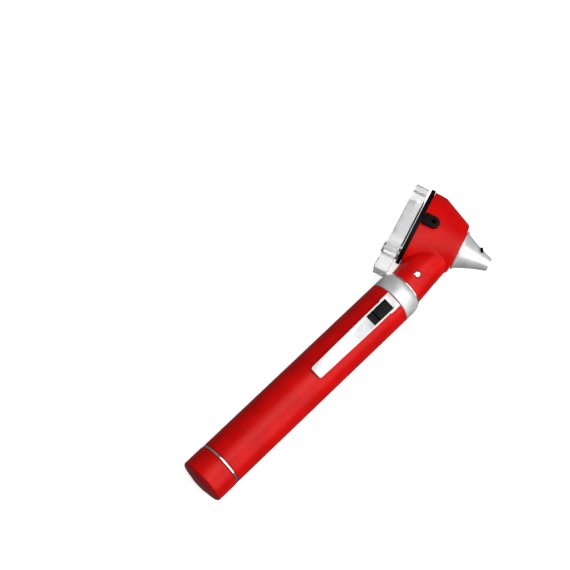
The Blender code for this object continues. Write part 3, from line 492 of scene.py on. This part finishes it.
def make_cap():
    low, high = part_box("end_cap")
    radius = (high.x - low.x) / 2
    corner, dome, shoulder = 0.9 * MM, 0.9 * MM, 0.6 * MM
    rim = low.y + dome
    inner = radius - corner
    flat = 5.0 * MM
    domed = [(inner * share, rim - dome * (1 - share ** 2)) for share in (0.94, 0.86, 0.76, 0.65)]
    cap = lathe([
        (0.0, rim + 1.4 * MM),
        (bore, rim + 1.4 * MM),
        (bore, high.y),
        *arc(radius - shoulder, high.y - shoulder, shoulder, shoulder, 90, 0),
        *arc(inner, rim + corner, corner, corner, 0, -72),
        *domed,
        (flat + 0.15 * MM, low.y + 0.02 * MM),
        (flat - 0.15 * MM, low.y),
        (0.0, low.y),
    ])
    piece("battery_cap", cap, handle_axes, "cap", "red_lacquer", ["end_cap"])

    low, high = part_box("cap_ring")
    radius = (high.x - low.x) / 2
    bead = 0.25 * MM
    ring = lathe([
        *arc(radius - bead, high.y - bead, bead, bead, 90, 0, 5),
        *arc(radius - bead, low.y + bead, bead, bead, 0, -90, 5),
        (bore, low.y),
        (bore, high.y),
    ])
    piece("trim_ring", ring, handle_axes, "cap_ring", "bright_metal", ["cap_ring"])


def make_collar():
    low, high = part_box("collar")
    bottom = tube_high.y + 0.15 * MM
    straight, top_radius = 4.2 * MM, 8.7 * MM
    shoulder = bottom + straight
    hole = 6.75 * MM
    outer_spigot, inner_spigot = bore - 0.15 * MM, bore - 0.85 * MM
    collar = lathe([
        (hole, high.y),
        *arc(top_radius, shoulder, handle_radius - top_radius, high.y - shoulder, 90, 0, 15),
        *arc(handle_radius - edge, bottom + edge, edge, edge, 0, -90, 5),
        (outer_spigot, bottom),
        (outer_spigot, low.y),
        (inner_spigot, low.y),
        (inner_spigot, bottom - 2.4 * MM),
        (hole, bottom - 2.4 * MM),
    ])
    piece("collar_body", collar, handle_axes, "handle", "satin_metal", ["collar"])

    low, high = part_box("neck_washer")
    radius = (high.x - low.x) / 2
    bead = 0.2 * MM
    washer = lathe([
        *arc(radius - bead, high.y - bead, bead, bead, 90, 0, 5),
        *arc(radius - bead, low.y + bead, bead, bead, 0, -90, 5),
        (hole, low.y),
        (hole, high.y),
    ])
    piece("neck_ring", washer, handle_axes, "neck_washer", "bright_metal", ["neck_washer"])


# ---------------------------------------------------------------- clip and switch

def upright(mesh):
    """Turns a prism so that its outline lies in the clip's face and it is thick along local X."""
    mesh.transform(Matrix(((0, 0, 1, 0), (1, 0, 0, 0), (0, 1, 0, 0), (0, 0, 0, 1))))
    return mesh


sheet = 0.7 * MM
clip_rise = 1.45 * MM
clip_outer = handle_radius + clip_rise
window_length = 11.2 * MM
window_width = 5.3 * MM
window_below_top = 3.0 * MM


def clip_outline(bottom, top, inset):
    """The clip widens towards the window, steps out near its top, and has a rounded tip."""
    tip, beside, widest = 5.7 / 2 * MM, 6.6 / 2 * MM, 7.4 / 2 * MM
    corner = 0.9 * MM
    window_bottom = top - window_below_top - window_length
    step = top - 5.6 * MM
    turns = [math.radians(t) for t in (0, 22.5, 45, 67.5, 90)]
    side = [(tip - corner + corner * math.sin(t), bottom + corner * (1 - math.cos(t))) for t in turns]
    side += [(beside, window_bottom), (beside, step), (widest, step + 0.4 * MM)]
    side += [(widest, top - 0.3 * MM), (widest - 0.3 * MM, top)]
    grown = []
    for y, z in side:
        z = max(bottom + inset, min(top - inset, z))
        grown.append((y - inset, z))
    return grown + [(-y, z) for y, z in reversed(grown)]


def make_clip():
    low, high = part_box("pocket_clip")
    bottom, top = low.y, high.y
    skirt = handle_radius + 0.1 * MM
    shell = upright(prism(clip_outline(bottom, top, 0.0), skirt, clip_outer))
    hollow = upright(prism(clip_outline(bottom, top, sheet), skirt - 1 * MM, clip_outer - sheet))
    window_top = top - window_below_top
    opening = box((clip_outer - sheet - 1 * MM, -window_width / 2, window_top - window_length),
                  (clip_outer + 1 * MM, window_width / 2, window_top))
    shell = worked(shell, cuts=[hollow, opening], bevel=0.16 * MM, segments=3, bevel_angle=40)
    piece("pocket_clip_blade", shell, clip_axes, "clip", "clip_steel", ["pocket_clip"])

    slider_low, slider_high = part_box("switch_slider")
    travel, gap = 3.4 * MM, 0.1 * MM
    plate_bottom = handle_radius + gap
    plate_top = plate_bottom + 0.45 * MM
    half = window_width / 2 - gap
    button_bottom = window_top - window_length + travel + gap
    button_top = window_top - gap
    face = clip_outer + 0.3 * MM
    ridges, ridge_depth, groove = 9, 0.16 * MM, 0.18 * MM
    pitch = (button_top - button_bottom) / ridges
    cuts = []
    for i in range(1, ridges):
        at = button_bottom + i * pitch
        cuts.append(box((face - ridge_depth, -half - gap, at - groove / 2),
                        (face + 1 * MM, half + gap, at + groove / 2)))
    button = worked(box((plate_bottom + 0.05 * MM, -half, button_bottom), (face, half, button_top)),
                    bevel=0.18 * MM, segments=3)
    plate_half = half - 0.12 * MM
    plate = box((plate_bottom, -plate_half, slider_low.y), (plate_top, plate_half, slider_high.y))
    post_half, post_length = 1.0 * MM, 3.8 * MM
    post = box((bore - 0.2 * MM, -post_half, button_bottom),
               (plate_top - 0.1 * MM, post_half, button_bottom + post_length))
    slider = worked(plate, joins=[button, post], cuts=cuts)
    piece("switch_button", slider, clip_axes, "switch", "black_plastic", ["switch_slider"])


# ---------------------------------------------------------------- head

casing_depth = 19.6 * MM
casing_half_width = 9.6 * MM
casing_wall = 1.3 * MM
front_wall = 1.8 * MM
rim_half_height = 18.15 * MM
rim_rise = 0.55 * MM
shoulder_depth = 5.6 * MM
shoulder_drop = 0.22 * MM
front_half_height = 12.0 * MM
front_edge = 0.9 * MM
front_face_radius = 9.3 * MM
frame_overhang = 0.32 * MM
skin_growth = 0.2 * MM          # how far the voxel skin may stand out from the barrel
neck_radius = 8.3 * MM
neck_bore_radius = 6.75 * MM
neck_bore_depth = 9.35 * MM
screw_height = 6.1 * MM


def barrel_section(depth, inset=0.0):
    """Half-width, top and bottom of the barrel at a depth from its rear edge."""
    top, bottom = rim_rise + rim_half_height, rim_rise - rim_half_height
    front = casing_depth - front_edge
    along = max(depth, 0.0)
    if along <= shoulder_depth:
        upper = top - shoulder_drop * (along / shoulder_depth) ** 2
    else:
        share = (along - shoulder_depth) / (front - shoulder_depth)
        upper = top - shoulder_drop + (front_half_height - top + shoulder_drop) * share
    lower = bottom + (-front_half_height - bottom) * along / front
    half_width = casing_half_width
    if along > front:
        share = 1 - math.sqrt(max(0.0, 1 - ((along - front) / front_edge) ** 2))
        upper += (front_face_radius - front_half_height) * share
        lower -= (front_face_radius - front_half_height) * share
        half_width += (front_face_radius - casing_half_width) * share
    return half_width - inset, upper - inset, lower + inset


def barrel_ring(depth, inset=0.0, count=96):
    half_width, upper, lower = barrel_section(depth, inset)
    return [(x, y, depth) for x, y in ellipse(half_width, (upper - lower) / 2, (upper + lower) / 2, count)]


def neck_ring(height, rear, front, half_width, count=96):
    middle_y, half = (front + rear) / 2, (front - rear) / 2
    turns = [2 * math.pi * i / count for i in range(count)]
    return [(half_width * math.cos(t), middle_y + half * math.sin(t), height) for t in turns]


def remeshed(mesh, voxel, smoothing):
    """One even skin over the mesh, with its inner corners filled a little by smoothing."""
    helper = bpy.data.objects.new("skin", mesh)
    bpy.context.scene.collection.objects.link(helper)
    skin = helper.modifiers.new("skin", "REMESH")
    skin.mode = "VOXEL"
    skin.voxel_size = voxel
    soft = helper.modifiers.new("soft", "SMOOTH")
    soft.factor = 0.5
    soft.iterations = smoothing
    bpy.context.view_layer.update()
    made = evaluated(helper)
    bpy.data.objects.remove(helper, do_unlink=True)
    return made


def make_head_shell():
    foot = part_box("head_shell")[0].y
    front = casing_depth - front_edge
    past_rim = 2 * MM
    depths = [-past_rim, 0.0, *[shoulder_depth * s for s in (0.3, 0.6, 0.85, 1.0, 1.12, 1.3)],
              front * 0.6, front * 0.8, front]
    depths += [front + front_edge * math.sin(math.radians(t)) for t in (22.5, 45, 67.5, 90)]
    barrel = loft([barrel_ring(depth, skin_growth) for depth in depths])

    # The neck: height above its foot, rear edge, front edge and half-width, as shares of its radius.
    shape = [(-2.0, -1.0, 0.995, 1.0), (0.0, -1.0, 0.995, 1.0),
             (3.9, -1.04, 0.955, 1.015), (7.9, -1.12, 0.905, 1.02),
             (13.0, -1.12, 0.85, 0.97), (19.0, -0.95, 0.78, 0.86), (22.0, -0.5, 0.5, 0.6)]
    neck = loft([neck_ring(foot + height * MM, rear * neck_radius, front_at * neck_radius, half * neck_radius)
                 for height, rear, front_at, half in shape])
    neck_in_optic = optic_axes.inverted() @ handle_axes
    neck.transform(neck_in_optic)
    skin = remeshed(worked(barrel, joins=[neck]), 0.28 * MM, 3)

    inside = [-past_rim - 1 * MM, 0.0, shoulder_depth, front * 0.6, casing_depth - front_wall]
    cavity = loft([[(x, y, depth) for x, y, _ in barrel_ring(max(depth, 0.0), casing_wall)]
                   for depth in inside])
    rim = rim_half_height + frame_overhang + frame_seam
    behind = box((-rim, rim_rise - rim, -10 * MM), (rim, rim_rise + rim, 0.0))
    below = moved(box((-30 * MM, -30 * MM, foot - 10 * MM), (30 * MM, 30 * MM, foot)), neck_in_optic)
    wide_bore = moved(cylinder(neck_bore_radius, foot - 1 * MM, foot + neck_bore_depth), neck_in_optic)
    light_bore = moved(cylinder(4.6 * MM, foot + neck_bore_depth - 1 * MM, foot + 17 * MM), neck_in_optic)
    nose_hole = cylinder(6.75 * MM, casing_depth - 4 * MM, casing_depth + 1 * MM)
    screw_seat = neck_radius - 0.75 * MM
    counterbore = moved(cylinder(1.62 * MM, screw_seat - 0.15 * MM, screw_seat + 4 * MM), screw_in_optic)
    shank_hole = moved(cylinder(0.9 * MM, 0.0, screw_seat + 1 * MM), screw_in_optic)
    port_hole = moved(cylinder(port_spigot + 0.15 * MM, casing_half_width - 3 * MM,
                               casing_half_width + 3 * MM), port_in_optic)
    shell = worked(skin, cuts=[behind, below, cavity, wide_bore, light_bore, nose_hole, counterbore,
                               shank_hole, port_hole])
    piece("head_casing", shell, optic_axes, "head", "red_lacquer", ["head_shell"], sharp=45)


screw_in_optic = optic_axes.inverted() @ handle_axes @ axes_matrix(
    (0, 0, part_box("head_shell")[0].y + screw_height), (0, 1, 0), (0, 0, 1), (1, 0, 0))
port_length, port_width, port_rise = 7.6 * MM, 5.3 * MM, 1.5 * MM
port_spigot = 1.8 * MM
port_centre = port_length - port_width / 2
port_in_optic = axes_matrix((0, rim_rise + 1.15 * MM, port_centre), (0, 0, 1), (0, 1, 0), (-1, 0, 0))


def make_head_screw():
    face, seat, radius = neck_radius + 0.25 * MM, neck_radius - 0.75 * MM, 1.4 * MM
    shank, end = 0.8 * MM, 5.5 * MM
    body = lathe([
        (0.0, face),
        (radius * 0.55, face - 0.04 * MM),
        *arc(radius - 0.3 * MM, face - 0.4 * MM, 0.3 * MM, 0.3 * MM, 70, 0, 5),
        (radius, seat),
        (shank, seat),
        (shank, end),
        (0.0, end),
    ], 64)
    slot = box((-0.24 * MM, -2 * radius, face - 0.6 * MM), (0.24 * MM, 2 * radius, face + 1 * MM))
    slot.transform(Matrix.Rotation(math.radians(-35), 4, "Z"))
    screw = worked(body, cuts=[slot], bevel=0.04 * MM, segments=2)
    piece("neck_screw", screw, optic_axes @ screw_in_optic, "head", "bright_metal", ["head_screw"])


def make_window_frame():
    back, front = depth_of("window_frame")
    half_height, half_width = rim_half_height + frame_overhang, casing_half_width + frame_overhang
    lip_depth = 2.0 * MM
    face = -frame_seam
    opening = (6.9 * MM, 12.4 * MM)
    bevel = 0.35 * MM

    def ring(half_x, half_y, depth, centre=rim_rise):
        return [(x, y, depth) for x, y in ellipse(half_x, half_y, centre, 128)]

    lip_width, lip_top, lip_bottom = barrel_section(lip_depth, casing_wall + 0.3 * MM)
    lip_half, lip_centre = (lip_top - lip_bottom) / 2, (lip_top + lip_bottom) / 2
    rows = []
    for t in (90, 67.5, 45, 22.5, 0):
        turn = math.radians(t)
        inset = bevel * (1 - math.cos(turn))
        rows.append(ring(half_width - inset, half_height - inset, back + bevel * (1 - math.sin(turn))))
    rows += [ring(half_width, half_height, face - 0.15 * MM),
             ring(half_width - 0.15 * MM, half_height - 0.15 * MM, face),
             ring(lip_width, lip_half, face, lip_centre), ring(lip_width, lip_half, lip_depth, lip_centre),
             ring(opening[0], opening[1], lip_depth), ring(opening[0], opening[1], back + 0.25 * MM),
             ring(opening[0] + 0.25 * MM, opening[1] + 0.25 * MM, back)]
    body = loft(rows, ring_shaped=True)
    pivot_hole = cylinder(1.1 * MM, back - 1 * MM, lip_depth + 1 * MM, (0.0, pivot_rise), 32)
    body = worked(body, cuts=[pivot_hole])
    piece("window_rim", body, optic_axes, "head", "black_plastic", ["window_frame"])


pivot_rise = rim_rise - 14.7 * MM


def make_port():
    """The pill-shaped lug with its socket and a raised lip round the hole."""
    half = port_width / 2
    straight = port_length - half
    low = casing_half_width + 0.15 * MM
    outline = [(-(port_centre - 0.15 * MM), -half), (straight - port_centre, -half)]
    count = 24
    for i in range(1, count):
        turn = math.radians(-90 + 180 * i / count)
        outline.append((straight - port_centre + half * math.cos(turn), half * math.sin(turn)))
    outline += [(straight - port_centre, half), (-(port_centre - 0.15 * MM), half)]
    lug = worked(prism(outline, low, low + port_rise), bevel=0.5 * MM, segments=5)
    spigot = cylinder(port_spigot, low - 2.4 * MM, low + 0.7 * MM, steps=48)
    groove = lathe([(1.75 * MM, low + port_rise + 0.5 * MM), (1.75 * MM, low + port_rise - 0.14 * MM),
                    (1.5 * MM, low + port_rise - 0.14 * MM), (1.5 * MM, low + port_rise + 0.5 * MM)], 48)
    socket = cylinder(1.1 * MM, low - 4 * MM, low + port_rise + 1 * MM, steps=48)
    piece("insufflation_lug", worked(lug, joins=[spigot], cuts=[socket, groove]), optic_axes @ port_in_optic,
          "head", "black_plastic", ["insufflation_port"])


# ---------------------------------------------------------------- nose

def make_nose():
    back, tip = depth_of("nose_cone")
    flange_back = casing_depth + 0.15 * MM
    flange_front = flange_back + 0.9 * MM
    flange_radius, base, tip_radius = 8.85 * MM, 8.1 * MM, 2.9 * MM
    waist, steps = 0.45 * MM, 16
    length = tip - flange_front
    spigot, spigot_bore = 6.6 * MM, 5.9 * MM
    outside = []
    for i in range(steps + 1):
        share = 1 - i / steps
        radius = base + (tip_radius - base) * share - waist * 4 * share * (1 - share)
        outside.append((radius, flange_front + length * share))
    tip -= 0.03 * MM
    cone = lathe([
        (tip_radius - 0.5 * MM, tip),
        *arc(tip_radius - 0.2 * MM, tip - 0.2 * MM, 0.2 * MM, 0.2 * MM, 90, 0, 5),
        *outside[1:-1],
        (base + 0.06 * MM, flange_front + 0.06 * MM),
        (base + 0.3 * MM, flange_front),
        *arc(flange_radius - 0.25 * MM, flange_front - 0.25 * MM, 0.25 * MM, 0.25 * MM, 90, 0, 5),
        (flange_radius, flange_back + 0.1 * MM),
        (flange_radius - 0.1 * MM, flange_back),
        (spigot, flange_back),
        (spigot, back),
        (spigot_bore, back),
        (spigot_bore, casing_depth),
    ])
    piece("nose_body", cone, optic_axes, "head", "nose_metal", ["nose_cone"])


def make_stud():
    source = frame["nodes"]["speculum_stud"]
    mesh = source.data.copy()
    bm = bmesh.new()
    bm.from_mesh(mesh)
    bmesh.ops.remove_doubles(bm, verts=bm.verts, dist=1e-6)
    bmesh.ops.dissolve_limit(bm, angle_limit=math.radians(2), verts=bm.verts, edges=bm.edges)
    rounded = worked(mesh_from(bm), bevel=0.18 * MM, segments=4, bevel_angle=50)
    piece("speculum_pin", rounded, Matrix.Identity(4), "head", "black_plastic", ["speculum_stud"])


# ---------------------------------------------------------------- lens

lens_half_width, lens_half_height, lens_corner = 6.6 * MM, 9.0 * MM, 4.0 * MM
lens_centre = rim_rise + 0.25 * MM
holder_half_width, tail_half_width = 8.8 * MM, 4.4 * MM


def holder_outline():
    """Half of the outline runs from the thumb tab up to the rounded top; the other half mirrors it."""
    top, shoulder, tail = rim_rise + 15.3 * MM, rim_rise - 12.5 * MM, rim_rise - 25.9 * MM
    tail_corner, corner = 1.5 * MM, 3.0 * MM
    side = [(tail_half_width - tail_corner * (1 - math.sin(math.radians(t))),
             tail + tail_corner * (1 - math.cos(math.radians(t)))) for t in (0, 22.5, 45, 67.5, 90)]
    neck = shoulder - 3.2 * MM
    side.append((tail_half_width + 0.2 * MM, neck - 1.0 * MM))
    for i in range(9):
        t = math.pi / 2 * i / 8
        side.append((holder_half_width - (holder_half_width - tail_half_width - 0.6 * MM) * (1 - math.sin(t)),
                     shoulder - (shoulder - neck) * math.cos(t)))
    for i in range(10):
        t = math.pi / 2 * i / 9
        side.append((holder_half_width - corner * (1 - math.cos(t)), top - corner * (1 - math.sin(t))))
    return side + [(-x, y) for x, y in reversed(side)]


def make_holder():
    back, front = depth_of("lens_holder")
    ribs_height = 0.5 * MM
    back += ribs_height
    opening = prism(rounded_rectangle(lens_half_width + 0.15 * MM, lens_half_height + 0.15 * MM, lens_corner,
                                      lens_centre), back - 1 * MM, front + 1 * MM)
    pivot_hole = cylinder(1.1 * MM, back - 1 * MM, front + 1 * MM, (0.0, pivot_rise), 32)
    body = worked(prism(holder_outline(), back, front), cuts=[opening, pivot_hole],
                  bevel=0.3 * MM, bevel_angle=50)
    tail = rim_rise - 25.9 * MM
    ribs = []
    for i in range(3):
        low = tail + 1.2 * MM + i * 1.6 * MM
        half = tail_half_width - 1.2 * MM
        ribs.append(worked(box((-half, low, back - ribs_height), (half, low + 0.8 * MM, back + 0.4 * MM)),
                           bevel=0.2 * MM, segments=3))
    holder = worked(body, joins=ribs)
    piece("lens_carrier", holder, optic_axes, "lens", "clear_acrylic", ["lens_holder"])


def make_lens():
    back, front = depth_of("magnifier_lens")
    dome = 0.5 * MM
    outline = rounded_rectangle(lens_half_width, lens_half_height, lens_corner, lens_centre, 12)
    rings = []
    for share in (0.02, 0.2, 0.4, 0.6, 0.78, 0.9, 0.97, 1.0):
        bulge = dome * (1 - share ** 2)
        rings.append([(x * share, lens_centre + (y - lens_centre) * share, back + dome - bulge)
                      for x, y in outline])
    rings.append([(x, y, front - 0.15 * MM) for x, y in outline])
    rings.append([(x * 0.985, lens_centre + (y - lens_centre) * 0.985, front) for x, y in outline])
    piece("magnifying_lens", loft(rings), optic_axes, "lens", "lens_acrylic", ["magnifier_lens"])

    low, high = depth_of("lens_seal")
    rows = []
    outer, inner, bevel = 1.0 * MM, 0.15 * MM, 0.1 * MM
    for grow, depth in ((outer, low), (outer, high - bevel), (outer - bevel, high),
                        (inner + bevel, high), (inner, high - bevel), (inner, low)):
        outline = rounded_rectangle(lens_half_width + grow, lens_half_height + grow,
                                    lens_corner + grow, lens_centre, 12)
        rows.append([(x, y, depth) for x, y in outline])
    piece("lens_gasket", loft(rows, ring_shaped=True), optic_axes, "lens", "black_rubber", ["lens_seal"])


def make_pivot():
    back, front = depth_of("lens_pivot_screw")
    radius, pin = 2.3 * MM, 1.0 * MM
    head_top = back + 0.8 * MM
    body = lathe([
        (0.0, front),
        (pin, front),
        (pin, head_top),
        (radius, head_top),
        *arc(radius - 0.35 * MM, back + 0.35 * MM, 0.35 * MM, 0.35 * MM, 0, -80, 6),
        (0.0, back),
    ], 64)
    slot = box((-3 * MM, -0.25 * MM, back - 1 * MM), (3 * MM, 0.25 * MM, back + 0.4 * MM))
    body = worked(body, cuts=[slot], bevel=0.05 * MM, segments=2)
    axes = optic_axes @ Matrix.Translation((0.0, pivot_rise, 0.0))
    piece("pivot_screw", body, axes, "head", "bright_metal", ["lens_pivot_screw"])


# ---------------------------------------------------------------- build the otoscope

make_handle()
make_cap()
make_collar()
make_clip()
make_head_shell()
make_head_screw()
make_window_frame()
make_port()
make_nose()
make_stud()
make_holder()
make_lens()
make_pivot()

# The inner pieces keep their CAD shapes and take the same finishes.
for name, obj in frame["nodes"].items():
    for slot_of in obj.material_slots:
        plain = slot_of.material.name.split(".")[0]
        slot_of.material = finishes[plain]


# ---------------------------------------------------------------- floor, lights and camera

def make_floor():
    floor_mesh = box((-2.0, -2.0, -0.02), (2.0, 2.0, -0.0002))
    made, tree, shader = new_finish("studio_floor", Roughness=0.9, Specular_IOR_Level=0.0)
    colour = blend_colour(tree, noise(tree, object_place(tree), 0.02), (0.9, 0.9, 0.9), (0.93, 0.93, 0.93))
    drive(tree, shader, colour)
    shader.inputs["Emission Color"].default_value = (1, 1, 1, 1)
    shader.inputs["Emission Strength"].default_value = floor_glow
    floor_mesh.materials.append(made)
    floor = bpy.data.objects.new("studio_floor", floor_mesh)
    bpy.context.scene.collection.objects.link(floor)
    floor.visible_diffuse = False
    floor.visible_glossy = False


def softbox(name, direction, distance, width, height, strength):
    """An area light that faces the otoscope from a direction. Width is across it and height along it."""
    light = bpy.data.lights.new(name, "AREA")
    light.shape = "RECTANGLE"
    light.size, light.size_y = width, height
    light.energy = strength
    made = bpy.data.objects.new(name, light)
    away = Vector(direction).normalized()
    made.location = target + away * distance
    made.rotation_mode = "QUATERNION"
    made.rotation_quaternion = (-away).to_track_quat("-Z", "Y")
    bpy.context.scene.collection.objects.link(made)


def make_world():
    world = bpy.data.worlds.new("studio")
    world.use_nodes = True
    tree = world.node_tree
    rise = node(tree, "ShaderNodeSeparateXYZ",
                {"Vector": node(tree, "ShaderNodeTexCoord").outputs["Generated"]}).outputs["Z"]
    shade = blend_colour(tree, ramp(tree, rise, -0.1, 0.5, 0.0, 1.0), (0.3, 0.3, 0.3), (0.5, 0.5, 0.5))
    tree.links.new(shade, tree.nodes["Background"].inputs["Color"])
    tree.nodes["Background"].inputs["Strength"].default_value = world_strength
    bpy.context.scene.world = world


def make_camera():
    azimuth, elevation, roll = math.radians(30.27), math.radians(71.31), math.radians(15.63)
    back = Vector((math.sin(azimuth) * math.cos(elevation), -math.cos(azimuth) * math.cos(elevation),
                   math.sin(elevation)))
    camera = bpy.data.objects.new("camera", bpy.data.cameras.new("camera"))
    camera.data.angle = math.radians(19.82)
    camera.data.clip_start = 0.01
    camera.location = view_centre + back * view_distance
    camera.rotation_mode = "QUATERNION"
    camera.rotation_quaternion = (-back).to_track_quat("-Z", "Y") @ Quaternion((0, 0, 1), roll)
    bpy.context.scene.collection.objects.link(camera)
    bpy.context.scene.camera = camera


floor_glow = 0.72
world_strength = 0.42
view_distance = 681.3 * MM
view_centre = Vector((handle_middle.x - 35.8 * MM, tube_low.y + 71.73 * MM, handle_middle.z))
target = Vector((0.0, 0.0, handle_middle.z))

make_floor()
make_world()
softbox("key_right", (0.75, 0.15, 0.8), 0.6, 0.6, 0.9, 3.4)
softbox("top", (0.15, 0.3, 1.0), 0.75, 0.5, 0.7, 2.2)
make_camera()
bpy.context.scene.view_settings.view_transform = "Standard"
